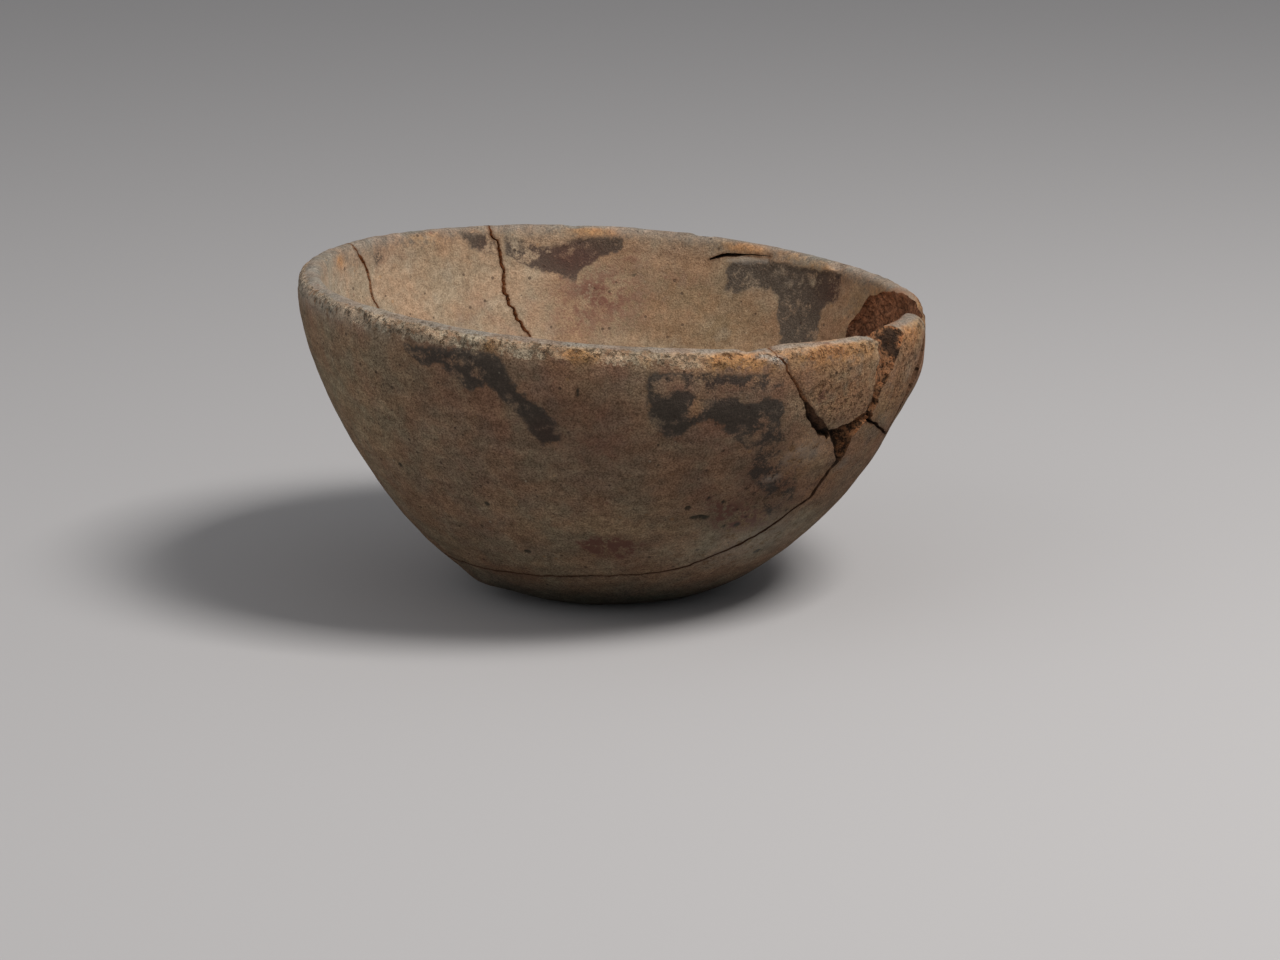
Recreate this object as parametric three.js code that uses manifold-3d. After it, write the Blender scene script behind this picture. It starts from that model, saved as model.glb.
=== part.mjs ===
// A small handmade earthenware bowl, broken long ago and mended: a flat underside, an open flaring wall,
// a rounded worn lip that leans to one side, and the cracks, chips and lost fragments of its breakage.
// Millimetres, +Z up. The origin is the middle of the flat underside; +X is the low side of the lip and
// -Y the side with the mended sherds. Azimuths are degrees from +X towards +Y.
import * as THREE from "three";
import { mergeVertices } from "three/addons/utils/BufferGeometryUtils.js";
import Module from "manifold-3d";

const wasm = await Module();
wasm.setup();

// The pot as thrown
const baseRadius = 17.5; // flat underside
const footReach = 19.7; // run of the low curve that leaves the underside
const footRise = 1.65; // rise of the wall over that run
const bellyDrop = 22.7; // depth below the crest of the lip at which the wall turns upright
const bellyInset = 1; // how far inside the lip radius the wall turns upright
const rimRadius = 61.8; // outside of the wall under the lip
const rimHeight = 59.5; // mean height of the crest of the lip
const lipThickness = 4.8; // wall just under the lip
const floorThickness = 8; // clay between the underside and the inside bottom
const lipRise = 3.2; // height of the rounded lip above the wall
const crestInset = 3; // crest of the lip, in from the outside
const lipSquareness = 2.5; // 2 is a round lip; more flattens its top and turns its edges tighter

// Out of true, as it left the hand
const rimLean = 4.2; // drop of the lip at +X, and rise at -X
const rimShift = 1.2; // the mouth stands this far to +X of the underside
const rimWave = 0.4; // the lip dips at +X and -X and lifts between them

// The mended sherds, set a little out of place
const sherdLift = 0.8; // the wide rim sherd stands this much higher than the body
const farSherdLift = 1.6; // and so does the narrow sherd at its right
const lipTuck = 1.4; // the lip leans in past the narrow sherd
const wallSwell = 0.4; // while the wall below it stands out
const wallDip = 0.8; // and lower down lies in again

// The breaks. Depths are shares of the lip thickness, so that a web of clay always holds.
const hairMouth = 0.62; // tight crack
const jointMouth = 1.1; // crack between mended sherds
const hairShare = 0.26;
const jointShare = 0.42;
const jointSkew = 0.7; // the front joint is deepest along the body, and slopes up to the sherd
const clear = 0.6; // a cutter starts this far outside the surface
const notchShare = 0.65; // fragment lost from the outer side of the lip, between the two rim sherds
const grooveMouth = 5.2; // the same loss where it runs down the outside
const grooveSkew = -0.5; // its deepest line, towards the narrow sherd
const chipShare = 0.9; // lost triangular chip under the rim sherd
const scarLength = 42; // flake lost from the inside, along the lip
const scarHeight = 20;
const scarRound = 6; // how round its hollow is, across the wall
const scarDepth = 2.6;
const scarAzimuth = 9;
const scarTilt = 15; // its far end hangs lower
const scarLean = 15; // its top leans outwards, taking the inner edge of the lip
const knockSize = 3.6; // roundness of a common knock on an edge
const knockDepth = 0.7;

// Fineness
const turns = 84;
const wallSteps = 18;
const lipSteps = 8;

// The section of the wall, walked by a station: 0 to 1 up the outside, 1 to 2 over the lip,
// 2 to 3 down the inside.
const wallTop = rimHeight - lipRise;
const outside = new THREE.CubicBezierCurve(
  new THREE.Vector2(baseRadius, 0),
  new THREE.Vector2(baseRadius + footReach, footRise),
  new THREE.Vector2(rimRadius - bellyInset, rimHeight - bellyDrop),
  new THREE.Vector2(rimRadius, wallTop),
);

function outsideAt(share) {
  const point = outside.getPoint(share);
  const run = outside.getTangent(share);
  return { point, normal: new THREE.Vector2(run.y, -run.x) };
}

function insideAt(share) {
  const { point, normal } = outsideAt(share);
  const wall = THREE.MathUtils.lerp(floorThickness, lipThickness, share);
  return { point: point.clone().addScaledVector(normal, -wall), normal: normal.clone().negate() };
}

function lipAt(share) {
  const outerEnd = outsideAt(1).point;
  const innerEnd = insideAt(1).point;
  const crest = outerEnd.x - crestInset;
  const side = share < 0.5 ? outerEnd : innerEnd;
  const across = Math.abs(side.x - crest);
  const up = rimHeight - side.y;
  const turn = share * Math.PI;
  const outward = Math.sign(Math.cos(turn));
  const [run, rise] = [Math.abs(Math.cos(turn)), Math.sin(turn)].map((v) => v ** (2 / lipSquareness));
  const [lean, lift] = [run, rise].map((v) => v ** (lipSquareness - 1));
  const point = new THREE.Vector2(crest + across * outward * run, side.y + up * rise);
  const normal = new THREE.Vector2(up * outward * lean, across * lift).normalize();
  return { point, normal };
}

function sectionAt(station) {
  if (station <= 1) return outsideAt(station);
  if (station < 2) return lipAt(station - 1);
  return insideAt(3 - station);
}

// How far a place lies inside a stretch of the wall, eased at both ends
function within(place, from, to, ease) {
  const entered = THREE.MathUtils.smoothstep(place, from - ease, from + ease);
  return entered * (1 - THREE.MathUtils.smoothstep(place, to - ease, to + ease));
}

// The mouth leans, shifts and waves and its sherds stand out of line; the underside stays flat.
function outOfTrue(v) {
  const share = v.z / rimHeight;
  const turn = Math.atan2(v.y, v.x);
  const azimuth = THREE.MathUtils.radToDeg(turn);
  const high = THREE.MathUtils.smoothstep(share, 0.7, 1);
  const upper = within(share, 0.76, 0.86, 0.07);
  const middle = within(share, 0.56, 0.68, 0.12);
  const lift = sherdLift * within(azimuth, -60, -37, 3) + farSherdLift * within(azimuth, -34.5, -13, 3);
  const swell = (wallSwell * upper - wallDip * middle) * within(azimuth, -22, 8, 8);
  const out = swell - lipTuck * within(azimuth, -12, 8, 9) * high;
  v.z -= (rimLean * (v.x / rimRadius) + rimWave * Math.cos(2 * turn)) * share;
  v.z += lift * high;
  v.x += rimShift * share + out * Math.cos(turn);
  v.y += out * Math.sin(turn);
  return v;
}

function surfaceAt(azimuth, station) {
  const { point, normal } = sectionAt(station);
  const turn = THREE.MathUtils.degToRad(azimuth);
  const out = new THREE.Vector3(Math.cos(turn), Math.sin(turn), 0);
  return {
    point: outOfTrue(out.clone().multiplyScalar(point.x).setZ(point.y)),
    normal: out.clone().multiplyScalar(normal.x).setZ(normal.y),
  };
}

function solidOf(geometry) {
  geometry.deleteAttribute("normal");
  geometry.deleteAttribute("uv");
  const merged = mergeVertices(geometry);
  const corners = merged.index.array;
  const kept = [];
  for (let i = 0; i < corners.length; i += 3) {
    const [a, b, c] = corners.slice(i, i + 3);
    if (a !== b && b !== c && c !== a) kept.push(a, b, c);
  }
  return new wasm.Manifold(
    new wasm.Mesh({
      numProp: 3,
      vertProperties: new Float32Array(merged.attributes.position.array),
      triVerts: new Uint32Array(kept),
    }),
  );
}

function facetGeometry(points, faces) {
  const geometry = new THREE.BufferGeometry().setFromPoints(points);
  geometry.setIndex(faces.flat());
  return geometry;
}

// The thrown pot, turned about its axis
const profile = [new THREE.Vector2(0, 0)];
for (let i = 0; i <= wallSteps; i++) profile.push(sectionAt(i / wallSteps).point);
for (let i = 1; i < lipSteps; i++) profile.push(sectionAt(1 + i / lipSteps).point);
for (let i = 0; i <= wallSteps; i++) profile.push(sectionAt(2 + i / wallSteps).point);
profile.push(new THREE.Vector2(0, profile[profile.length - 1].y));
const thrown = new THREE.LatheGeometry(profile, turns).rotateX(Math.PI / 2);
const place = thrown.attributes.position;
const spot = new THREE.Vector3();
for (let i = 0; i < place.count; i++) {
  outOfTrue(spot.fromBufferAttribute(place, i));
  place.setXYZ(i, spot.x, spot.y, spot.z);
}

// A crack is a wedge swept along a path on the wall: [azimuth, station, share of its mouth].
// A skewed one is deepest towards its left wall.
function walked(path) {
  const out = [path[0]];
  for (let i = 1; i < path.length; i++) {
    const [from, to] = [path[i - 1], path[i]];
    const over = Math.abs(to[1] - from[1]) / 0.14;
    const round = Math.abs(to[0] - from[0]) / 7;
    const steps = Math.max(1, Math.ceil(Math.max(over, round)));
    for (let k = 1; k <= steps; k++) {
      out.push(from.map((value, n) => value + ((to[n] - value) * k) / steps));
    }
  }
  return out;
}

function crack(path, mouth, share, skew = 0) {
  const rows = walked(path).map(([azimuth, station, open]) => ({ ...surfaceAt(azimuth, station), open }));
  const depth = share * lipThickness;
  const points = [];
  const faces = [];
  rows.forEach((row, i) => {
    const before = rows[Math.max(i - 1, 0)].point;
    const after = rows[Math.min(i + 1, rows.length - 1)].point;
    const along = after.clone().sub(before).normalize();
    const side = row.normal.clone().cross(along).normalize();
    const deep = depth * Math.sqrt(row.open);
    const half = (mouth / 2) * row.open * ((deep + clear) / deep);
    const top = row.point.clone().addScaledVector(row.normal, clear);
    points.push(top.clone().addScaledVector(side, half));
    points.push(top.clone().addScaledVector(side, -half));
    const bottom = row.point.clone().addScaledVector(row.normal, -deep);
    points.push(bottom.addScaledVector(side, skew * half));
  });
  const last = 3 * (rows.length - 1);
  for (let a = 0; a < last; a += 3) {
    for (const [p, q] of [[0, 1], [1, 2], [2, 0]]) {
      faces.push([a + p, a + q, a + p + 3], [a + q, a + q + 3, a + p + 3]);
    }
  }
  faces.push([0, 2, 1], [last, last + 1, last + 2]);
  return solidOf(facetGeometry(points, faces));
}

// A lost piece is a pit: a ring of points on the wall, anticlockwise from outside, with one deep point.
// Its cutter reaches well clear of the wall, above the place given last.
function pit(ring, deepest, share, over, above) {
  const points = ring.map(([azimuth, station]) => {
    const { point, normal } = surfaceAt(azimuth, station);
    return point.addScaledVector(normal, over);
  });
  const low = surfaceAt(...deepest);
  points.push(low.point.addScaledVector(low.normal, -share * lipThickness));
  const high = surfaceAt(...above);
  points.push(high.point.addScaledVector(high.normal, 1.6 * lipThickness));
  const faces = ring.flatMap((_, i) => {
    const next = (i + 1) % ring.length;
    return [[next, i, ring.length], [i, next, ring.length + 1]];
  });
  return solidOf(facetGeometry(points, faces));
}

// A knock on an edge: a shallow round hollow, its roundness and depth given as multiples of the common one.
function knock(azimuth, station, size, depth) {
  const { point, normal } = surfaceAt(azimuth, station);
  const ball = new THREE.IcosahedronGeometry(size * knockSize, 2);
  const centre = point.addScaledVector(normal, size * knockSize - depth * knockDepth);
  return solidOf(ball.translate(centre.x, centre.y, centre.z));
}

const cuts = [];

// Joint between the body and the rim sherd, over the lip and a little way down the inside
cuts.push(
  crack(
    [
      [-45.6, 0.776, 1.7], [-48.3, 0.793, 1.8], [-51.6, 0.835, 1.6], [-54.4, 0.888, 1],
      [-56.7, 0.932, 0.6], [-59.1, 0.98, 0.5], [-60.9, 1.2, 0.4], [-61.4, 1.5, 0.5],
      [-60.6, 1.8, 0.5], [-59.4, 2.05, 0.4], [-55, 2.15, 0.4], [-47, 2.25, 0.3],
    ],
    jointMouth,
    hairShare,
    jointSkew,
  ),
);

// Long crack low on the wall, from a hairline on the left to an open joint under the lost chip
cuts.push(
  crack(
    [
      [-156, 0.295, 0.22], [-139.7, 0.3, 0.28], [-120.6, 0.307, 0.32], [-105.5, 0.314, 0.34],
      [-91.8, 0.322, 0.34], [-76.7, 0.335, 0.34], [-70, 0.352, 0.38], [-64, 0.384, 0.45],
      [-57.9, 0.416, 0.6], [-52.6, 0.456, 0.8], [-48.7, 0.491, 0.75], [-45, 0.534, 0.65],
      [-41.4, 0.566, 0.75], [-40.9, 0.62, 1], [-40.2, 0.656, 1.2], [-39.2, 0.685, 1.4],
    ],
    jointMouth,
    jointShare,
  ),
);

// Under the right-hand sherd and on round to the back
cuts.push(
  crack(
    [
      [-34.9, 0.793, 0.9], [-31.5, 0.772, 0.75], [-28, 0.75, 0.55], [-24, 0.728, 0.5], [-19.4, 0.705, 0.5],
      [-8, 0.69, 0.5], [3, 0.71, 0.5], [14, 0.68, 0.4], [26, 0.69, 0.3],
    ],
    jointMouth,
    jointShare,
  ),
);

// Right end of that sherd, up over the lip
cuts.push(
  crack(
    [
      [-19.4, 0.705, 0.5], [-20, 0.8, 1.2], [-19.8, 0.845, 3], [-19, 0.875, 4], [-17.8, 0.91, 4],
      [-15.2, 0.95, 3.6], [-13.5, 1, 2.4], [-12.6, 1.3, 1.4], [-12, 1.6, 0.8], [-11, 1.95, 0.6],
    ],
    jointMouth,
    hairShare,
  ),
);

// Crack down the far wall, through the lip, seen on both faces
cuts.push(
  crack(
    [
      [124, 0.42, 0.4], [118, 0.55, 0.6], [120.5, 0.68, 0.8], [116, 0.8, 0.9], [118.5, 0.92, 0.8],
      [116.5, 1.2, 0.7], [116.9, 1.58, 0.8], [115.9, 1.97, 1], [114.7, 2.05, 1.3],
      [114.3, 2.11, 1.4], [114.6, 2.18, 1.2], [112.9, 2.24, 1.2], [110.7, 2.3, 1.1],
      [107, 2.42, 0.9], [104, 2.56, 0.7], [96, 2.68, 0.4],
    ],
    hairMouth,
    hairShare,
  ),
);

// Shorter crack on the left
cuts.push(
  crack(
    [
      [158, 0.66, 0.4], [155, 0.78, 0.6], [157, 0.9, 0.7], [155.6, 1.2, 0.6], [154.9, 1.75, 0.7],
      [152.9, 2, 1.2], [150.9, 2.08, 1.5], [151.3, 2.15, 0.9], [149, 2.25, 0.5],
    ],
    hairMouth,
    hairShare,
  ),
);

// Lifted flake just under the lip, far side
cuts.push(
  crack(
    [[69.9, 2.028, 0.6], [67.2, 2.008, 1.3], [64.3, 1.985, 1.3], [61.5, 1.95, 0.7], [56, 1.87, 0.4]],
    hairMouth,
    hairShare,
  ),
);

// Lost fragment between the two rim sherds: off the outer side of the lip, then down the outside to the chip
cuts.push(
  pit(
    [
      [-39.6, 1.55], [-37.6, 1.2], [-37.8, 0.975], [-38, 0.91], [-34.5, 0.87], [-32.3, 0.92],
      [-29.8, 0.96], [-27.8, 1.08], [-27, 1.35], [-31.2, 1.75], [-36.6, 1.8],
    ],
    [-31.4, 1.1],
    notchShare,
    clear,
    [-34, 1.3],
  ),
);
cuts.push(
  crack(
    [
      [-36.5, 0.8, 0.62], [-36.4, 0.825, 0.62], [-36.1, 0.86, 0.62], [-35.6, 0.895, 0.79],
      [-35.1, 0.94, 0.95], [-34.3, 0.977, 1.2],
    ],
    grooveMouth,
    hairShare,
    grooveSkew,
  ),
);

// Lost triangular chip under the rim sherd
cuts.push(
  pit(
    [
      [-48.2, 0.784], [-45, 0.744], [-42.7, 0.705], [-38.6, 0.65], [-36.8, 0.648], [-36.7, 0.69],
      [-37.2, 0.741], [-34.6, 0.783], [-32.4, 0.795], [-33.8, 0.833], [-37.2, 0.827], [-41.5, 0.804],
    ],
    [-42.8, 0.775],
    chipShare,
    2 * clear,
    [-42.8, 0.775],
  ),
);

// Flake lost from the inside, below the low side of the lip
const scarSeat = surfaceAt(scarAzimuth, 2.08);
const scarMiddle = scarSeat.point.clone().addScaledVector(scarSeat.normal, scarRound - scarDepth);
const scar = new THREE.SphereGeometry(1, 36, 24)
  .rotateX(Math.PI / 2)
  .scale(scarRound, scarLength / 2, scarHeight / 2)
  .rotateX(THREE.MathUtils.degToRad(-scarTilt))
  .rotateY(THREE.MathUtils.degToRad(scarLean))
  .rotateZ(THREE.MathUtils.degToRad(scarAzimuth))
  .translate(scarMiddle.x, scarMiddle.y, scarMiddle.z);
cuts.push(solidOf(scar));

// Knocks on the lip and on the edge of the underside
cuts.push(
  knock(-65.5, 1.55, 0.95, 1.4),
  knock(-100, 1.7, 0.7, 0.9),
  knock(-141, 1.15, 1.1, 1),
  knock(72, 1.45, 1, 0.9),
  knock(98, 1.5, 1.2, 0.9),
  knock(39, 1.6, 1, 1.1),
  knock(-150, 0.05, 2.6, 0.9),
  knock(-126, 0.03, 2, 1.4),
);

const bowl = cuts.reduce((pot, cut) => pot.subtract(cut), solidOf(thrown)).getMesh();
const geometry = new THREE.BufferGeometry();
geometry.setAttribute("position", new THREE.BufferAttribute(new Float32Array(bowl.vertProperties), 3));
geometry.setIndex(new THREE.BufferAttribute(new Uint32Array(bowl.triVerts), 1));
geometry.computeVertexNormals();

const mesh = new THREE.Mesh(geometry, new THREE.MeshStandardMaterial({ color: 0x9c8469, roughness: 0.9 }));
mesh.name = "bowl";

const group = new THREE.Group();
group.add(mesh);
export default group;
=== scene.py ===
"""A small handmade earthenware bowl, broken long ago and mended, standing on a plain floor."""

import math

import bpy
import numpy as np
from mathutils import Euler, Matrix, Vector, kdtree, noise


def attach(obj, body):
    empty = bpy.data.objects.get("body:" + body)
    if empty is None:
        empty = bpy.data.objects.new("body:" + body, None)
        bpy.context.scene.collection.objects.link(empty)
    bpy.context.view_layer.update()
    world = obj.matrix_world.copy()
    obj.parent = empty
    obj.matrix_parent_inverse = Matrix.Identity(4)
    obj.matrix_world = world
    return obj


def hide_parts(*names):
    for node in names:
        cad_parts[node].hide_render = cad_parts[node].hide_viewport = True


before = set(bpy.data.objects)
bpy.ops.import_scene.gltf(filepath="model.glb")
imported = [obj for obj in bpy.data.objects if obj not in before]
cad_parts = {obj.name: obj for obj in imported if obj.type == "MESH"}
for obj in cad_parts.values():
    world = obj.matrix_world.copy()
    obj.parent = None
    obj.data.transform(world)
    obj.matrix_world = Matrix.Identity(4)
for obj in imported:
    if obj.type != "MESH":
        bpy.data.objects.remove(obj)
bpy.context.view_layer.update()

MM = 0.001

# The pot as thrown, in millimetres
BASE_RADIUS = 17.5
FOOT_REACH, FOOT_RISE = 19.7, 1.65
BELLY_DROP, BELLY_INSET = 22.7, 1.0
RIM_RADIUS, RIM_HEIGHT = 61.8, 59.5
LIP_THICKNESS, FLOOR_THICKNESS = 4.8, 8.0
LIP_RISE, CREST_INSET, LIP_SQUARENESS = 3.2, 3.0, 2.5

# Out of true, and the mended sherds a little out of place
RIM_LEAN, RIM_SHIFT, RIM_WAVE = 4.2, 1.2, 0.4
SHERD_LIFT, FAR_SHERD_LIFT = 0.8, 1.6
LIP_TUCK, WALL_SWELL, WALL_DIP = 1.4, 0.4, 0.8

# The breaks: mouths in millimetres, depths as shares of the lip thickness
HAIR_MOUTH, HAIR_SHARE = 0.62, 0.26
JOINT_MOUTH, JOINT_SHARE, JOINT_SKEW = 1.1, 0.42, 0.7
GROOVE_MOUTH, GROOVE_SKEW = 5.2, -0.5
NOTCH_SHARE, NOTCH_CLEAR = 0.65, 0.6
CHIP_SHARE, CHIP_CLEAR = 0.9, 1.2
HUB_SHARE = 1.6
SCAR_SIZE = (6.0, 21.0, 10.0)
SCAR_DEPTH, SCAR_AZIMUTH, SCAR_STATION, SCAR_TILT, SCAR_LEAN = 2.6, 9.0, 2.08, 15.0, 15.0
CRACK_CLEAR = 0.9

# Fineness of the surface
TURNS = 500
WALL_RINGS, LIP_RINGS, FLOOR_RINGS = 62, 28, 8
CUTTER_CUTS, SCAR_CUTS = 9, 6
SHARP_ANGLE = 48

# Unevenness of hand and age: height and size of the lumps, and a seed
WALL_LUMPS = ((0.3, 24, 0.0), (0.12, 8, 3.1), (0.05, 2.2, 7.7))
BEVEL_LUMPS, BEVEL_WORN = ((0.22, 2.8, 1.7), (0.18, 1.2, 9.3)), 0.18
CROWN_LUMPS, CROWN_WORN = ((0.06, 5.0, 2.7), (0.08, 1.4, 6.1)), 0.05
WIPING_TURNS, WIPING_APART, WIPING_OUTSIDE, WIPING_MORE_INSIDE = 2.2, 3.4, 0.08, 0.08
GRIT_APART, GRIT_LEFT_OUT, GRIT_DEPTH = 6.5, 0.35, 0.3
FOOT_LUMP_HEIGHT, FOOT_LUMP_AZIMUTH, FOOT_LUMP_WIDE = 0.9, -147, 11
FOOT_LUMP_STATION, FOOT_LUMP_TALL = 0.2, 0.05


def smooth(value, low, high):
    share = np.clip((value - low) / (high - low), 0, 1)
    return share * share * (3 - 2 * share)


def within(value, start, end, ease):
    return smooth(value, start - ease, start + ease) * (1 - smooth(value, end - ease, end + ease))


# The section of the wall, walked by a station:
# 0 to 1 up the outside, 1 to 2 over the lip, 2 to 3 down the inside
OUTSIDE = np.array([
    (BASE_RADIUS, 0),
    (BASE_RADIUS + FOOT_REACH, FOOT_RISE),
    (RIM_RADIUS - BELLY_INSET, RIM_HEIGHT - BELLY_DROP),
    (RIM_RADIUS, RIM_HEIGHT - LIP_RISE),
])


def outside(share):
    t = np.asarray(share, float)[:, None]
    a, b, c, d = OUTSIDE
    point = a * (1 - t) ** 3 + 3 * b * t * (1 - t) ** 2 + 3 * c * t * t * (1 - t) + d * t**3
    run = (b - a) * (1 - t) ** 2 + 2 * (c - b) * t * (1 - t) + (d - c) * t * t
    run = run / np.linalg.norm(run, axis=1)[:, None]
    return point, np.column_stack((run[:, 1], -run[:, 0]))


def inside(share):
    point, normal = outside(share)
    wall = FLOOR_THICKNESS + (LIP_THICKNESS - FLOOR_THICKNESS) * np.asarray(share, float)
    return point - normal * wall[:, None], -normal


def lip(share):
    outer, inner = outside([1.0])[0][0], inside([1.0])[0][0]
    share = np.asarray(share, float)
    crest = outer[0] - CREST_INSET
    side = np.where((share < 0.5)[:, None], outer, inner)
    across, up = np.abs(side[:, 0] - crest), RIM_HEIGHT - side[:, 1]
    turn = share * math.pi
    outward = np.sign(np.cos(turn))
    run, rise = np.abs(np.cos(turn)) ** (2 / LIP_SQUARENESS), np.abs(np.sin(turn)) ** (2 / LIP_SQUARENESS)
    point = np.column_stack((crest + across * outward * run, side[:, 1] + up * rise))
    bend = LIP_SQUARENESS - 1
    normal = np.column_stack((up * outward * run**bend, across * rise**bend))
    return point, normal / np.linalg.norm(normal, axis=1)[:, None]


def section(station):
    station = np.atleast_1d(np.asarray(station, float))
    point, normal = np.zeros((len(station), 2)), np.zeros((len(station), 2))
    for chosen, walk in (
        (station <= 1, outside),
        ((station > 1) & (station < 2), lambda s: lip(s - 1)),
        (station >= 2, lambda s: inside(3 - s)),
    ):
        if chosen.any():
            point[chosen], normal[chosen] = walk(station[chosen])
    return point, normal


def out_of_true(place):
    x, y, z = place.T
    share = z / RIM_HEIGHT
    turn = np.arctan2(y, x)
    azimuth = np.degrees(turn)
    high = smooth(share, 0.7, 1)
    lift = SHERD_LIFT * within(azimuth, -60, -37, 3) + FAR_SHERD_LIFT * within(azimuth, -34.5, -13, 3)
    swell = WALL_SWELL * within(share, 0.76, 0.86, 0.07) - WALL_DIP * within(share, 0.56, 0.68, 0.12)
    out = swell * within(azimuth, -22, 8, 8) - LIP_TUCK * within(azimuth, -12, 8, 9) * high
    lean = (RIM_LEAN * x / RIM_RADIUS + RIM_WAVE * np.cos(2 * turn)) * share
    return np.column_stack((
        x + RIM_SHIFT * share + out * np.cos(turn),
        y + out * np.sin(turn),
        z - lean + lift * high,
    ))


def on_surface(azimuth, station):
    point, normal = section(station)
    turn = np.radians(np.atleast_1d(np.asarray(azimuth, float)))
    out = np.column_stack((np.cos(turn), np.sin(turn)))
    place = out_of_true(np.column_stack((out * point[:, :1], point[:, 1])))
    return place, np.column_stack((out * normal[:, :1], normal[:, 1]))


# Stations for heights on the true form, and the way along the section, for painting in millimetres
STATIONS = np.linspace(0, 3, 601)
SECTION = section(STATIONS)[0]
ALONG = np.concatenate(([0], np.cumsum(np.linalg.norm(np.diff(SECTION, axis=0), axis=1))))


def station_at(height, face):
    chosen = STATIONS <= 1.5 if face == "outside" else STATIONS >= 1.5
    heights, stations = SECTION[chosen, 1], STATIONS[chosen]
    order = np.argsort(heights)
    return np.interp(height, heights[order], stations[order])


# Mesh helpers

def link(name, mesh):
    made = bpy.data.objects.new(name, mesh)
    bpy.context.scene.collection.objects.link(made)
    return made


def make_only(chosen):
    bpy.ops.object.select_all(action="DESELECT")
    chosen.select_set(True)
    bpy.context.view_layer.objects.active = chosen


def points_of(mesh):
    flat = np.empty(len(mesh.vertices) * 3, np.float32)
    mesh.vertices.foreach_get("co", flat)
    return flat.reshape(-1, 3).astype(float) / MM


def put_points(mesh, place):
    mesh.vertices.foreach_set("co", (np.asarray(place) * MM).astype(np.float32).ravel())
    mesh.update()


def lumps(place, size, seed):
    return np.array([noise.noise((x / size + seed, y / size - seed, z / size)) for x, y, z in place])


def uneven(place, rows):
    return sum(height * lumps(place, size, seed) for height, size, seed in rows)


def nearest_of(marks, asked):
    """For each asked point, which mark is nearest and how far away it is."""
    tree = kdtree.KDTree(len(marks))
    for k, mark in enumerate(marks):
        tree.insert(mark, k)
    tree.balance()
    found = [tree.find(point) for point in asked]
    return np.array([which for _, which, _ in found]), np.array([gap for _, _, gap in found])


# The thrown pot: its section spun about the axis

profile_stations = np.concatenate((
    np.linspace(0, 1, WALL_RINGS),
    np.linspace(1, 2, LIP_RINGS)[1:-1],
    np.linspace(2, 3, WALL_RINGS),
))
profile = section(profile_stations)[0]
under = [(BASE_RADIUS * k / FLOOR_RINGS, 0.0) for k in range(FLOOR_RINGS)]
floor_radius, floor_level = profile[-1]
bottom = [(floor_radius * k / FLOOR_RINGS, floor_level) for k in reversed(range(FLOOR_RINGS))]
profile = np.array([*under, *profile, *bottom])
profile_stations = np.concatenate((np.zeros(len(under)), profile_stations, np.full(len(bottom), 3.0)))

mesh = bpy.data.meshes.new("bowl_clay")
mesh.from_pydata(
    [(r * MM, 0, z * MM) for r, z in profile],
    [(k, k + 1) for k in range(len(profile) - 1)],
    [],
)
bowl = link("bowl_clay", mesh)
make_only(bowl)
bpy.ops.object.mode_set(mode="EDIT")
bpy.ops.mesh.select_all(action="SELECT")
bpy.ops.mesh.spin(steps=TURNS, angle=2 * math.pi, center=(0, 0, 0), axis=(0, 0, 1))
bpy.ops.mesh.select_all(action="SELECT")
bpy.ops.mesh.remove_doubles(threshold=1e-6)
bpy.ops.mesh.normals_make_consistent(inside=False)
bpy.ops.object.mode_set(mode="OBJECT")

# Each vertex's station, then the unevenness of hand and age along the normal
spun = points_of(mesh)
reach = np.hypot(spun[:, 0], spun[:, 1])
station = np.empty(len(spun))
for part in np.array_split(np.arange(len(spun)), 40):
    far = (reach[part, None] - profile[:, 0]) ** 2 + (spun[part, 2, None] - profile[:, 1]) ** 2
    station[part] = profile_stations[far.argmin(1)]
normal = section(station)[1]
turn = np.arctan2(spun[:, 1], spun[:, 0])
normal = np.column_stack((np.cos(turn) * normal[:, 0], np.sin(turn) * normal[:, 0], normal[:, 1]))

bevel_zone = within(station, 0.985, 1.42, 0.05)
crown_zone = within(station, 1.42, 1.97, 0.05)
way_along = np.interp(station, STATIONS, ALONG)
wiped = np.column_stack((np.cos(turn) * WIPING_TURNS, np.sin(turn) * WIPING_TURNS, way_along / WIPING_APART))
relief = uneven(spun, WALL_LUMPS)
relief += (WIPING_OUTSIDE + WIPING_MORE_INSIDE * smooth(station, 1.6, 2.1)) * lumps(wiped, 1.0, 5.2)
relief += bevel_zone * (uneven(spun, BEVEL_LUMPS) - BEVEL_WORN)
relief += crown_zone * (uneven(spun, CROWN_LUMPS) - CROWN_WORN)
for k, (x, y, z) in enumerate(spun):
    near, seeds = noise.voronoi((x / GRIT_APART, y / GRIT_APART, z / GRIT_APART))
    chosen = noise.cell(seeds[0] * 37.0)
    if chosen > GRIT_LEFT_OUT:
        relief[k] -= GRIT_DEPTH * max(0.0, 1 - near[0] / (0.06 + 0.1 * chosen))
foot_lump_u = (np.degrees(turn) - FOOT_LUMP_AZIMUTH) / FOOT_LUMP_WIDE
foot_lump_v = (station - FOOT_LUMP_STATION) / FOOT_LUMP_TALL
relief += FOOT_LUMP_HEIGHT * np.exp(-(foot_lump_u**2) - foot_lump_v**2)
relief *= np.where(station < 0.5, smooth(station, 0.0, 0.1), 1)
place = out_of_true(spun + normal * relief[:, None])

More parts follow.
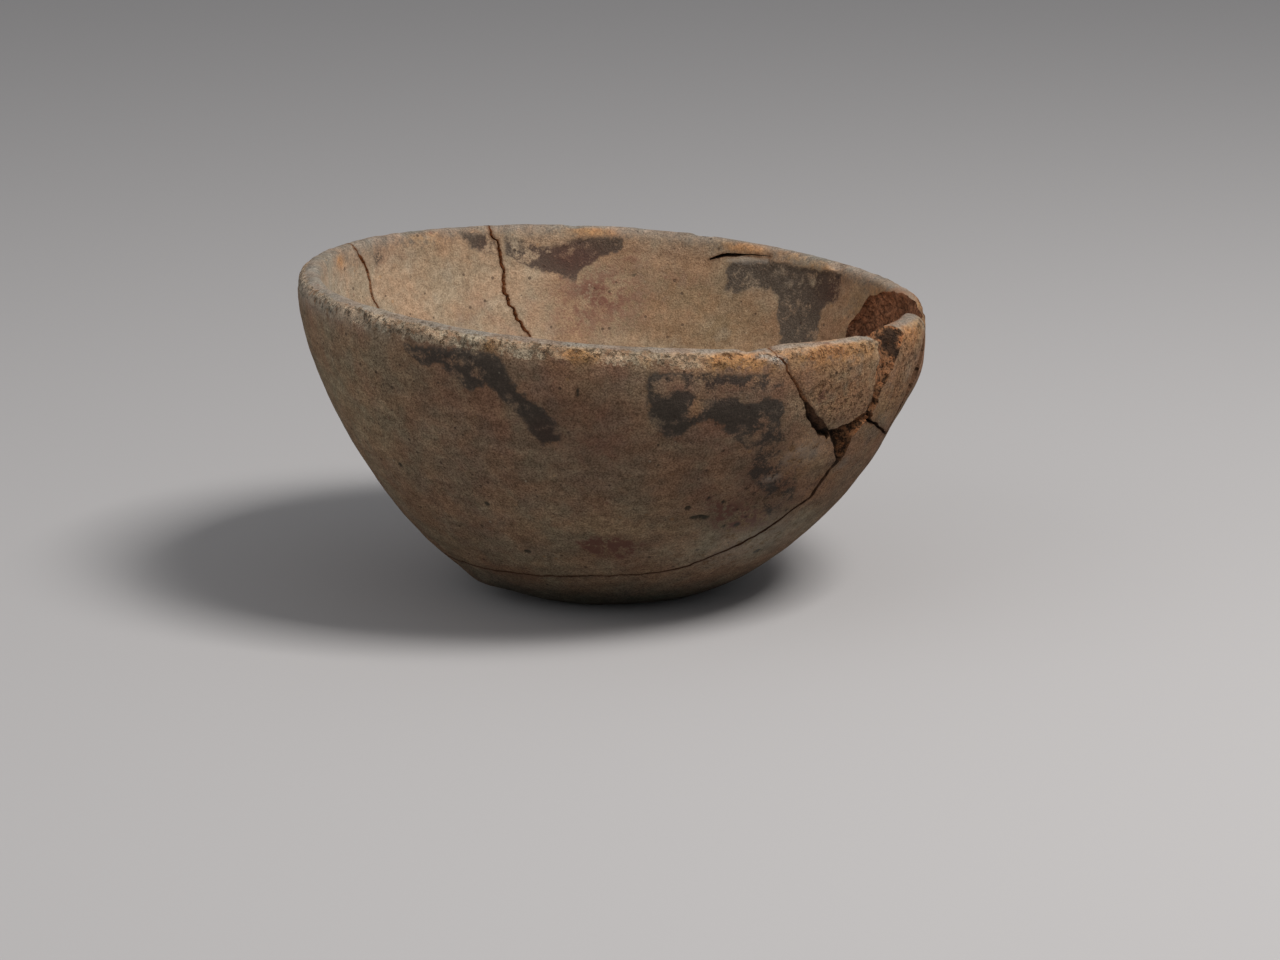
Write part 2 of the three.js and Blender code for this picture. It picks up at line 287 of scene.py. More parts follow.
# Knocks on the lip and on the edge of the underside: azimuth, station, roundness, depth
KNOCKS = (
    (-65.5, 1.55, 3.4, 1.0),
    (-100, 1.7, 2.5, 0.6),
    (-141, 1.15, 4.0, 0.7),
    (-118, 1.12, 2.6, 0.6),
    (-92, 1.2, 3.0, 0.5),
    (-75, 1.1, 2.4, 0.6),
    (-50, 1.2, 3.0, 0.5),
    (72, 1.45, 3.6, 0.6),
    (98, 1.5, 4.3, 0.6),
    (39, 1.6, 3.6, 0.8),
    (131, 1.7, 3.0, 0.6),
    (-150, 0.05, 9.4, 0.6),
    (-126, 0.03, 7.2, 1.0),
)
for azimuth, at, size, depth in KNOCKS:
    spot, out = on_surface(azimuth, at)
    centre = spot[0] + out[0] * (size - depth)
    away = place - centre
    gap = np.linalg.norm(away, axis=1)
    rough = size * (1 + 0.05 * noise.noise(spot[0]))
    struck = gap < rough
    place[struck] = centre + away[struck] / gap[struck, None] * rough

# Small holes where grit fell out: azimuth, station, width and height of the hole, depth
PITS = (
    (-73.7, 0.572, 0.9, 0.8, 0.7),
    (-71.3, 0.545, 1.5, 0.75, 0.7),
    (-69.4, 0.539, 1.2, 0.7, 0.5),
    (-60.2, 0.506, 0.9, 0.6, 0.4),
    (-63.5, 0.512, 0.6, 0.5, 0.3),
    (-69.6, 0.603, 0.5, 0.5, 0.3),
    (-66.0, 0.59, 0.5, 0.4, 0.3),
    (-45.7, 0.376, 1.3, 0.5, 0.4),
    (-42.0, 0.384, 1.6, 0.6, 0.5),
    (-96.5, 0.91, 0.45, 0.8, 0.4),
    (-94.7, 0.918, 0.3, 0.5, 0.2),
    (-85.9, 0.922, 0.3, 0.5, 0.2),
    (-112.3, 0.414, 0.9, 0.6, 0.4),
    (-118.4, 0.555, 0.8, 0.4, 0.3),
    (-100.4, 0.552, 0.7, 0.45, 0.3),
    (-115.0, 0.43, 0.5, 0.4, 0.3),
    (-140.0, 0.62, 0.6, 0.6, 0.3),
    (60.0, 0.66, 1.0, 0.8, 0.4),
    (84.0, 0.48, 0.8, 0.8, 0.4),
    (150.0, 0.52, 1.1, 0.7, 0.4),
    (30.0, 0.55, 0.7, 0.7, 0.3),
    (104.0, 2.34, 0.5, 0.5, 0.3),
    (86.0, 2.12, 0.5, 0.5, 0.3),
    (-120.0, 2.4, 0.8, 0.6, 0.3),
)
pitted = np.zeros(len(place))
for azimuth, at, wide, tall, depth in PITS:
    u = np.radians((np.degrees(turn) - azimuth + 180) % 360 - 180) * reach
    v = way_along - np.interp(at, STATIONS, ALONG)
    hole = np.exp(-((u / wide) ** 4) - (v / tall) ** 4)
    pitted = np.maximum(pitted, hole)
    place -= normal * (depth * hole)[:, None]
put_points(mesh, place)

# The breaks, cut with rough-walled cutters: paths of azimuth, station and share of the mouth

FRONT_JOINT = (
    (-45.6, 0.776, 1.7), (-48.3, 0.793, 1.8), (-51.6, 0.835, 1.6), (-54.4, 0.888, 1), (-56.7, 0.932, 0.6),
    (-59.1, 0.98, 0.5), (-60.9, 1.2, 0.4), (-61.4, 1.5, 0.5), (-60.6, 1.8, 0.5), (-59.4, 2.05, 0.4),
    (-55, 2.15, 0.4), (-47, 2.25, 0.3),
)
LOW_CRACK = (
    (-156, 0.295, 0.22), (-139.7, 0.3, 0.28), (-120.6, 0.307, 0.32), (-105.5, 0.314, 0.34),
    (-91.8, 0.322, 0.34), (-76.7, 0.335, 0.34), (-70, 0.352, 0.38), (-64, 0.384, 0.45), (-57.9, 0.416, 0.6),
    (-52.6, 0.456, 0.8), (-48.7, 0.491, 0.75), (-45, 0.534, 0.65), (-41.4, 0.566, 0.75), (-40.9, 0.62, 1),
    (-40.2, 0.656, 1.2), (-39.2, 0.685, 1.4),
)
UNDER_SHERD = (
    (-34.9, 0.793, 0.9), (-31.5, 0.772, 0.75), (-28, 0.75, 0.55), (-24, 0.728, 0.5), (-19.4, 0.705, 0.5),
    (-8, 0.69, 0.5), (3, 0.71, 0.5), (14, 0.68, 0.4), (26, 0.69, 0.3),
)
SHERD_END = (
    (-19.4, 0.705, 0.5), (-20, 0.8, 1.2), (-19.8, 0.845, 3), (-19, 0.875, 4), (-17.8, 0.91, 4),
    (-15.2, 0.95, 3.6), (-13.5, 1, 2.4), (-12.6, 1.3, 1.4), (-12, 1.6, 0.8), (-11, 1.95, 0.6),
)
FAR_CRACK = (
    (124, 0.42, 0.4), (118, 0.55, 0.6), (120.5, 0.68, 0.8), (116, 0.8, 0.9), (118.5, 0.92, 0.8),
    (116.5, 1.2, 0.7), (116.9, 1.58, 0.8), (115.9, 1.97, 1), (114.7, 2.05, 1.3), (114.3, 2.11, 1.4),
    (114.6, 2.18, 1.2), (112.9, 2.24, 1.2), (110.7, 2.3, 1.1), (107, 2.42, 0.9), (104, 2.56, 0.7),
    (96, 2.68, 0.4),
)
LEFT_CRACK = (
    (158, 0.66, 0.4), (155, 0.78, 0.6), (157, 0.9, 0.7), (155.6, 1.2, 0.6), (154.9, 1.75, 0.7),
    (152.9, 2, 1.2), (150.9, 2.08, 1.5), (151.3, 2.15, 0.9), (149, 2.25, 0.5),
)
FLAKE = ((69.9, 2.028, 0.6), (67.2, 2.008, 1.3), (64.3, 1.985, 1.2), (61.5, 1.95, 0.4), (56, 1.87, 0.16))
GROOVE = (
    (-36.5, 0.8, 0.62), (-36.4, 0.825, 0.62), (-36.1, 0.86, 0.62), (-35.6, 0.895, 0.79), (-35.1, 0.94, 0.95),
    (-34.3, 0.977, 1.2),
)
NOTCH_RING = (
    (-39.6, 1.55), (-37.6, 1.2), (-37.8, 0.975), (-38, 0.91), (-34.5, 0.87), (-32.3, 0.92), (-29.8, 0.96),
    (-27.8, 1.08), (-27, 1.35), (-31.2, 1.75), (-36.6, 1.8),
)
NOTCH_DEEPEST, NOTCH_TOP = (-31.4, 1.1), (-34, 1.3)
CHIP_RING = (
    (-48.2, 0.784), (-45, 0.744), (-42.7, 0.705), (-38.6, 0.65), (-36.8, 0.648), (-36.7, 0.69),
    (-37.2, 0.741), (-34.6, 0.783), (-32.4, 0.795), (-33.8, 0.833), (-37.2, 0.827), (-41.5, 0.804),
)
CHIP_DEEPEST = (-42.8, 0.775)

# Which corners of a ring the painted shade of the hollow reaches towards, and how far
NOTCH_HOLLOW = ((6, 0.75), (7, 0.5), (8, 0.45))
CHIP_HOLLOW = ((0, 1), (1, 1), (2, 1), (3, 0.9), (10, 1), (11, 1))
HOLLOW_MARKS = 16

# The middles of the broken faces' seams, for their brown edges, and the bottoms of their hollows, for painted
# shade, gathered as they are cut

seam_points = []
valley_points = []


def stepped(path, step):
    """The path as closely spaced rows of azimuth, station and share of the mouth."""
    rows = np.array(path, float)
    fine = np.concatenate([
        rows[k] + (rows[k + 1] - rows[k]) * np.linspace(0, 1, 40, endpoint=False)[:, None]
        for k in range(len(rows) - 1)
    ] + [rows[-1:]])
    spots = on_surface(fine[:, 0], fine[:, 1])[0]
    gone = np.concatenate(([0], np.cumsum(np.linalg.norm(np.diff(spots, axis=0), axis=1))))
    marks = np.linspace(0, gone[-1], max(3, int(gone[-1] / step)))
    return np.column_stack([np.interp(marks, gone, fine[:, k]) for k in range(3)])


def crack(name, path, mouth, share, skew=0.0, jag=0.3, step=0.9, soiled_and_shaded=True):
    """A wedge along a path, wandering and of uneven width, whose edge runs deep in the wall."""
    rows = stepped(path, step)
    spots, normals = on_surface(rows[:, 0], rows[:, 1])
    runs = np.gradient(spots, axis=0)
    sides = np.cross(normals, runs)
    sides /= np.linalg.norm(sides, axis=1)[:, None]
    spots = spots + sides * (jag * lumps(spots, 2.4, 4.4) + 0.5 * jag * lumps(spots, 0.9, 8.1))[:, None]
    if soiled_and_shaded:
        seam_points.extend(spots)
    spread = rows[:, 2] * (1 + 0.55 * np.clip(lumps(spots, 2.0, 2.2), -0.5, 1))
    deep = share * LIP_THICKNESS * np.sqrt(rows[:, 2]) * (1 + 0.25 * lumps(spots, 3.0, 6.6))
    half = mouth / 2 * spread * (deep + CRACK_CLEAR) / deep
    top = spots + normals * CRACK_CLEAR
    low = spots - normals * deep[:, None] + sides * (skew * half)[:, None]
    if soiled_and_shaded:
        valley_points.extend(low)
    corners = np.stack((top + sides * half[:, None], top - sides * half[:, None], low), axis=1).reshape(-1, 3)
    last = len(corners) - 3
    faces = [(0, 2, 1), (last, last + 1, last + 2)]
    for a in range(0, last, 3):
        for p, q in ((0, 1), (1, 2), (2, 0)):
            faces.append((a + p, a + q, a + q + 3, a + p + 3))
    return cutter(name, corners, faces)


def cutter(name, corners, faces):
    """A closed solid, from corners in millimetres, that takes clay away."""
    body = bpy.data.meshes.new(name)
    body.from_pydata([tuple(c * MM for c in corner) for corner in corners], [], faces)
    body.update()
    return link(name, body)


def roughened(made, size, depth, seed):
    """A broken face is never smooth: its finely divided cutter is pushed about."""
    place = points_of(made.data)
    push = depth * lumps(place, size, seed) + 0.45 * depth * lumps(place, size * 0.4, seed + 2)
    out = np.empty(len(place) * 3, np.float32)
    made.data.vertices.foreach_get("normal", out)
    put_points(made.data, place + out.reshape(-1, 3) * push[:, None])
    return made


def divided(made):
    make_only(made)
    bpy.ops.object.mode_set(mode="EDIT")
    bpy.ops.mesh.select_all(action="SELECT")
    bpy.ops.mesh.quads_convert_to_tris()
    bpy.ops.mesh.subdivide(number_cuts=CUTTER_CUTS)
    bpy.ops.mesh.normals_make_consistent(inside=False)
    bpy.ops.object.mode_set(mode="OBJECT")
    return made


cutters = [
    crack("front_joint", FRONT_JOINT, JOINT_MOUTH, HAIR_SHARE, skew=JOINT_SKEW, step=0.6),
    crack("low_crack", LOW_CRACK, JOINT_MOUTH, JOINT_SHARE, jag=0.35, step=0.7),
    crack("under_sherd", UNDER_SHERD, JOINT_MOUTH, JOINT_SHARE),
    crack("sherd_end", SHERD_END, JOINT_MOUTH, HAIR_SHARE, step=0.6),
    crack("far_crack", FAR_CRACK, HAIR_MOUTH, HAIR_SHARE, jag=0.8, step=0.5),
    crack("left_crack", LEFT_CRACK, HAIR_MOUTH, HAIR_SHARE, jag=0.6, step=0.5),
    crack("flake", FLAKE, HAIR_MOUTH, HAIR_SHARE, jag=0.15),
    crack("groove", GROOVE, GROOVE_MOUTH, HAIR_SHARE, skew=GROOVE_SKEW, jag=0.5, soiled_and_shaded=False),
]


def pit(name, outline, deepest, above, share, clear, hollow):
    """A lost piece: a ring of points on the wall, one deep point, and another well clear of the wall."""
    spots, normals = on_surface(*np.array(outline).T)
    foot, out = on_surface(*deepest)
    low = foot[0] - out[0] * share * LIP_THICKNESS
    head, out = on_surface(*above)
    high = head[0] + out[0] * HUB_SHARE * LIP_THICKNESS
    corners = [*(spots + normals * clear), low, high]
    last = len(outline)
    for k, reach in hollow:
        valley_points.extend(low + (corners[k] - low) * part for part in np.linspace(0, reach, HOLLOW_MARKS))
    faces = []
    for k in range(last):
        faces += [((k + 1) % last, k, last), (k, (k + 1) % last, last + 1)]
    return divided(cutter(name, corners, faces))


# The fragment lost from the outer side of the lip between the two sherds, and the triangular chip below
notch = pit("notch", NOTCH_RING, NOTCH_DEEPEST, NOTCH_TOP, NOTCH_SHARE, NOTCH_CLEAR, NOTCH_HOLLOW)
chip = pit("chip", CHIP_RING, CHIP_DEEPEST, CHIP_DEEPEST, CHIP_SHARE, CHIP_CLEAR, CHIP_HOLLOW)
cutters.append(roughened(notch, size=2.0, depth=0.4, seed=1.3))
cutters.append(roughened(chip, size=2.2, depth=0.35, seed=2.9))

# The flake lost from the inside
seat, inward = on_surface(SCAR_AZIMUTH, SCAR_STATION)
bpy.ops.mesh.primitive_ico_sphere_add(subdivisions=SCAR_CUTS, radius=MM)
scar = bpy.context.object
scar.name = "scar"
ball = points_of(scar.data) * np.array(SCAR_SIZE)
turned = Euler((math.radians(-SCAR_TILT), math.radians(SCAR_LEAN), math.radians(SCAR_AZIMUTH))).to_matrix()
ball = ball @ np.array(turned).T
put_points(scar.data, ball + seat[0] + inward[0] * (SCAR_SIZE[0] - SCAR_DEPTH))
cutters.append(roughened(scar, size=4.0, depth=0.8, seed=0.4))

# Every face of a cutter leaves a broken face behind: an old scar, an open loss,
# or a crack that is clean, or full of soil with painted shade at depth
SCAR, LOSS, CLEAN_CRACK, SOILED_SHADED_CRACK = 0.5, 0.75, 0.9, 1.0
BREAK_KINDS = {
    "scar": SCAR,
    "notch": LOSS,
    "groove": LOSS,
    "chip": LOSS,
    "far_crack": CLEAN_CRACK,
    "left_crack": CLEAN_CRACK,
}
CLEAN_ABOVE = 47.0
mesh.attributes.new("broken", "FLOAT", "FACE")
for made in cutters:
    flag = made.data.attributes.new("broken", "FLOAT", "FACE")
    kind = np.full(len(made.data.polygons), BREAK_KINDS.get(made.name, SOILED_SHADED_CRACK), np.float32)
    if made.name == "front_joint":
        kind[[face.center.z / MM > CLEAN_ABOVE for face in made.data.polygons]] = CLEAN_CRACK
    flag.data.foreach_set("value", kind)
    make_only(bowl)
    cut = bowl.modifiers.new(made.name, "BOOLEAN")
    cut.operation = "DIFFERENCE"
    cut.solver = "MANIFOLD"
    cut.object = made
    bpy.ops.object.modifier_apply(modifier=cut.name)
    bpy.data.objects.remove(made)

make_only(bowl)
bpy.ops.object.mode_set(mode="EDIT")
bpy.ops.mesh.select_all(action="SELECT")
bpy.ops.mesh.quads_convert_to_tris()
bpy.ops.object.mode_set(mode="OBJECT")
bpy.ops.object.shade_smooth()
mesh = bowl.data
mesh.set_sharp_from_angle(angle=math.radians(SHARP_ANGLE))

# What the surface shows, as values on the vertices. Painted shapes are outlines of azimuth and height.

whole = points_of(mesh)
nearest = nearest_of(place, whole)[0]
station, azimuth = station[nearest], np.degrees(turn)[nearest]
radius = np.interp(station, STATIONS, SECTION[:, 0])
along = np.interp(station, STATIONS, ALONG)
is_inside = smooth(station, 1.55, 1.9)

# The painted strokes: the face they are on, how much paint is left, and their outline
STROKES = (
    ("outside", 1.0, (
        (-129, 55), (-126, 52.6), (-121, 52.8), (-118, 51), (-116.4, 49.2), (-114.2, 49.6), (-113, 51.2),
        (-111, 49.2), (-108.6, 47.2), (-106, 44.4), (-104.9, 41.6), (-103, 39.8), (-100.3, 40.6),
        (-100.2, 43.6), (-102.5, 46.4), (-105.1, 48.5), (-108.4, 51.6), (-109.6, 54), (-109.9, 56),
        (-118, 56),
    )),
    ("outside", 1.0, (
        (-84.5, 55), (-84.2, 50), (-83.2, 45.6), (-80.6, 43), (-77.6, 43.6), (-76, 45.6), (-74.2, 46.7),
        (-71.8, 45.6), (-69, 43.6), (-66.4, 41.6), (-64.5, 40.2), (-62.4, 40.6), (-60.6, 43), (-58.6, 46),
        (-59.6, 49.4), (-63, 50.2), (-66, 49.6), (-70.7, 50.8), (-74.5, 50.4), (-76.8, 51.5), (-77.4, 55),
    )),
    ("outside", 0.58, (
        (-64.3, 44), (-59.4, 44.6), (-56.2, 40.4), (-57.1, 37.1), (-51.5, 33.7), (-49, 30.2), (-46.6, 23.4),
        (-49.6, 22.4), (-54.7, 24.6), (-56.1, 29), (-59.9, 31.5), (-62.6, 33.2), (-62.6, 37.3), (-61.8, 40.2),
    )),
    ("outside", 0.62, ((-77, 55.5), (-60, 55), (-60, 52.4), (-67, 51.6), (-77, 52))),
    ("inside", 1.0, (
        (113, 56.9), (103.6, 54.8), (96.7, 56.8), (88.8, 57.4), (88.7, 55.3), (95.8, 52.1), (98.8, 48.9),
        (103.7, 50.4), (108, 51.2), (113, 54),
    )),
    ("inside", 0.7, ((123.6, 58.6), (116, 57.6), (115.4, 54.2), (121.6, 55.5))),
    ("inside", 0.5, ((148.6, 56.6), (145.4, 57.2), (145, 55.6), (147.6, 54.6))),
    ("inside", 1.0, (
        (66.2, 54.8), (55.3, 56.6), (50.8, 56.6), (36.9, 57.7), (37, 52.7), (40.6, 49.8), (39.8, 43.4),
        (40.5, 38), (44, 35.5), (48, 38), (48.7, 41.3), (51.7, 46.4), (52.5, 49.6), (55.3, 51.2),
        (59.5, 51.4), (62.9, 49.2), (65.3, 49.7),
    )),
)


def signed_depth(face, outline):
    """Millimetres inside an outline drawn on the wall; negative outside it."""
    outline = np.array(outline, float)
    middle = outline[:, 0].mean()
    at = station_at(outline[:, 1], face)
    corner_u = np.radians(outline[:, 0] - middle) * np.interp(at, STATIONS, SECTION[:, 0])
    corner_v = np.interp(at, STATIONS, ALONG)
    u = np.radians((azimuth - middle + 180) % 360 - 180) * radius
    v = along
    depth = np.full(len(u), 1e3)
    odd = np.zeros(len(u), bool)
    for k in range(len(outline)):
        (au, av), (bu, bv) = (corner_u[k - 1], corner_v[k - 1]), (corner_u[k], corner_v[k])
        run_u, run_v = bu - au, bv - av
        share = np.clip(((u - au) * run_u + (v - av) * run_v) / (run_u**2 + run_v**2), 0, 1)
        depth = np.minimum(depth, np.hypot(u - au - share * run_u, v - av - share * run_v))
        crosses = (av > v) != (bv > v)
        odd ^= crosses & (u < au + (v - av) / np.where(run_v == 0, 1e-9, run_v) * run_u)
    return np.where(odd, depth, -depth)


def patch(face, middle, height, wide, tall):
    """1 at the middle of a soft round patch on the wall, falling away; sizes in millimetres."""
    at = station_at(height, face)
    u = np.radians((azimuth - middle + 180) % 360 - 180) * radius
    v = along - np.interp(at, STATIONS, ALONG)
    return np.exp(-((u / wide) ** 2) - (v / tall) ** 2)


def patches(*rows):
    """Soft patches by strength, face, azimuth, height, width and tallness; the strongest shows."""
    made = np.zeros(len(whole))
    for strength, *where in rows:
        made = np.maximum(made, strength * patch(*where))
    return made


# Paint rubbed away inside the strokes
wear = patches(
    (0.75, "outside", -79.1, 52.7, 4.2, 1.3),
    (0.7, "outside", -75.9, 48.9, 1.0, 2.6),
    (0.6, "outside", -71.0, 51.9, 4.0, 1.2),
    (0.7, "outside", -62.6, 44.4, 1.5, 2.0),
    (0.75, "outside", -58.0, 38.0, 3.0, 3.0),
    (0.5, "outside", -55.7, 32.1, 3.5, 1.2),
    (0.6, "outside", -114.2, 52.6, 1.2, 1.2),
    (0.4, "outside", -122.0, 54.2, 4.0, 1.0),
    (0.5, "inside", 106.5, 56.2, 2.0, 1.0),
    (0.5, "inside", 108.0, 53.5, 4.0, 2.5),
    (0.1, "inside", 62.0, 53.0, 5.0, 3.5),
    (0.22, "inside", 42.0, 54.5, 4.5, 3.5),
    (0.1, "outside", -52.0, 28.0, 5.0, 5.0),
)
ink = np.full(len(whole), -6.0)
weight = np.zeros(len(whole))
for face, strength, outline in STROKES:
    depth = signed_depth(face, outline)
    ink = np.maximum(ink, depth)
    weight = np.maximum(weight, strength * smooth(depth, -2.5, 0))
weight *= 1 - wear

# Where the paint burnt red-brown instead of black
ink_red = patches(
    (1.0, "inside", 99, 53, 9, 4),
    (0.8, "inside", 39, 54, 5, 4),
    (0.5, "inside", 118, 56, 3, 2),
    (0.5, "outside", -103, 42, 3, 3),
    (0.6, "outside", -72, 52.5, 8, 2),
    (0.5, "outside", -57, 37, 6, 5),
)

# Rusty stains
OVAL_STAIN = (
    (-99, 18.6), (-95, 20), (-90.9, 20.6), (-86, 20), (-82.3, 18.7), (-79.6, 18.2), (-83, 16.6),
    (-86.9, 15.2), (-91, 15), (-94.8, 15.8),
)
LOW_STAIN = (
    (-70.7, 29.5), (-65.6, 27.8), (-59.1, 26.5), (-53.3, 24.4), (-50.9, 21.1), (-59, 20.7), (-66.2, 22.1),
    (-69.2, 25.9),
)
BROWN_BAND = (
    (-63, 44), (-55, 44), (-50, 38), (-46, 28), (-44, 22), (-50, 20), (-56, 24), (-60, 30), (-66, 33),
    (-64, 38),
)
stain = np.maximum(
    1.15 * smooth(signed_depth("outside", OVAL_STAIN), -0.6, 0.6),
    1.15 * smooth(signed_depth("outside", LOW_STAIN), -1.5, 1.5),
)
stain = np.maximum(stain, 0.4 * smooth(signed_depth("outside", BROWN_BAND), -3.0, 3.0))
stain = np.maximum(stain, patches(
    (0.6, "outside", -62, 26.5, 7, 4),
    (0.5, "outside", -54, 24, 5, 4),
    (0.7, "outside", -110.7, 15.3, 1.6, 0.7),
    (0.6, "outside", -122.6, 24.3, 0.8, 2.2),
    (0.5, "outside", -120.4, 20.6, 1.2, 2.2),
    (0.55, "outside", -79.1, 52.7, 4.4, 1.5),
    (0.5, "outside", -71, 51.9, 4.5, 1.4),
    (0.5, "outside", -62.6, 44.4, 2, 2.2),
    (0.5, "outside", -87, 54.3, 2.6, 0.7),
    (0.3, "outside", -95, 41, 7, 5),
    (0.75, "inside", 98, 42, 6, 6),
    (0.9, "inside", 93, 46, 10, 7),
    (0.6, "inside", 86.6, 53.5, 4, 2),
    (0.4, "inside", 75, 50.8, 6, 2),
    (0.4, "outside", -45, 47, 14, 8),
    (0.3, "outside", -24, 47, 10, 9),
    (0.8, "outside", -50.5, 49, 1.4, 2.6),
    (0.3, "inside", 125.6, 42.6, 3, 2),
    (0.3, "inside", 121.4, 45.5, 3, 2),
    (0.5, "inside", -24, 59.2, 7, 1.6),
    (0.8, "inside", 3, 58.8, 13, 2.6),
    (2.0, "inside", -5, 58.5, 9, 2.6),
    (0.6, "outside", 3, 58.4, 13, 2.2),
))

# The slip worn through to orange clay
rubbed = patches(
    (0.8, "inside", 43, 58, 6, 2),
    (0.9, "inside", 62, 58.6, 7, 1.6),
    (0.8, "inside", 51, 58.9, 6, 1.4),
    (0.9, "inside", 95, 58.6, 6, 1.4),
    (0.8, "inside", 133, 58.7, 5, 1.4),
    (0.8, "inside", 163, 57.8, 2.4, 1.6),
    (0.4, "inside", 119.5, 58.6, 3, 1.4),
    (0.5, "inside", 30, 52, 4, 5),
    (0.6, "inside", 22, 57, 6, 3),
    (1.0, "outside", -68, 57.5, 9, 3.2),
    (1.0, "outside", -48, 57, 13, 3.4),
    (0.8, "outside", -24, 57, 8, 4),
    (0.7, "outside", -97, 57.6, 5, 2.2),
    (0.5, "outside", -112, 57.5, 3, 2),
    (0.45, "outside", -85, 57.5, 3, 2),
    (0.6, "outside", -45, 50, 12, 7),
    (0.6, "outside", -28, 46, 12, 10),
    (0.4, "outside", -75.9, 48.9, 1.2, 2.4),
    (0.35, "outside", -41, 30, 5, 6),
    (1.0, "outside", -51, 37.5, 7, 6),
    (0.6, "outside", -54, 41, 2, 3),
    (1.0, "outside", 2, 57.5, 14, 4),
    (1.0, "inside", 4, 58.5, 14, 3),
    (0.8, "inside", -48, 58.9, 14, 2.5),
    (0.7, "inside", -27, 58.9, 8, 2.5),
)

# A grey film of lime and dust
film = patches(
    (1.0, "inside", 171, 55, 15, 6),
    (0.5, "inside", 104, 58.2, 6, 1.2),
    (0.5, "inside", 75.5, 56.6, 9, 2),
    (0.35, "inside", 146, 56, 8, 3),
    (0.4, "inside", 105, 30, 20, 10),
    (0.5, "inside", 52, 54, 10, 4),
    (0.9, "outside", -150, 40, 26, 22),
    (0.7, "outside", -120, 14, 30, 9),
    (0.9, "outside", -92, 22, 26, 9),
    (1.0, "outside", -54, 18, 24, 10),
    (1.0, "outside", -45, 47, 12, 8),
    (0.6, "outside", -26, 45, 8, 9),
    (0.35, "outside", -83, 51, 5, 5),
    (0.5, "outside", -150, 20, 20, 14),
    (0.6, "outside", 150, 38, 40, 18),
)

# Painted shade: olive-brown on the far right of the inside, and darker on the old scar's part under the lip
inside_shade = patches(
    (0.9, "inside", 66, 42, 24, 14),
    (0.6, "inside", 42, 46, 18, 12),
    (0.35, "inside", 96, 36, 14, 10),
    (0.95, "inside", 2, 55.5, 12, 6),
)

# Coarser, more crumbled skin on the mended sherds
crumbled = patches(
    (1.0, "outside", -46, 49, 13, 9),
    (1.0, "outside", -25, 50, 9, 10),
    (0.7, "outside", -56, 30, 7, 8),
    (0.4, "outside", -140, 45, 20, 12),
)

# Pale lime and old filler in the joints, and the pale ledge under the slit inside
filler = patches(
    (0.9, "outside", -63.6, 58.7, 1.5, 0.6),
    (1.0, "outside", -61.8, 58.0, 1.2, 0.7),
    (0.8, "outside", -60.4, 57.2, 0.9, 0.7),
    (0.55, "outside", -56.8, 32.3, 2.0, 0.8),
    (0.5, "outside", -54.6, 36.8, 1.5, 0.8),
    (0.45, "outside", -52.0, 38.8, 1.8, 0.7),
    (0.4, "outside", -36.2, 33.1, 1.2, 0.8),
    (0.32, "outside", -50, 17, 14, 7),
    (0.3, "outside", -50, 38, 5, 4),
    (0.35, "outside", -165, 57.5, 30, 2.2),
)
LEDGE = ((65.4, 56.3), (56.6, 57.1), (56.3, 56.2), (65.6, 55.4))
filler = np.maximum(filler, 0.55 * smooth(signed_depth("inside", LEDGE), -0.3, 0.2))

seam = nearest_of(seam_points, whole)[1]
valley = nearest_of(valley_points, whole)[1]

NEARBY = 12
for name, values in (
    ("inside", is_inside),
    ("from_crest", np.clip(along - np.interp(1.5, STATIONS, ALONG), -NEARBY, NEARBY)),
    # low: where painted shade falls low on the wall towards the floor
    ("low", 1 - smooth(station, 0.12, 0.34)),
    ("ink", ink),
    ("ink_weight", weight),
    ("ink_red", ink_red),
    ("stain", stain),
    ("rubbed", rubbed),
    ("film", film),
    ("inside_shade", inside_shade),
    ("crumbled", crumbled),
    ("filler", filler),
    ("pitted", pitted[nearest]),
    ("seam", np.clip(seam, 0, NEARBY)),
    # valley: nearness to the bottoms of the hollows, for painted shade
    ("valley", np.clip(valley, 0, NEARBY)),
):
    layer = mesh.attributes.new(name, "FLOAT", "POINT")
    layer.data.foreach_set("value", np.asarray(values, np.float32))


# The clay

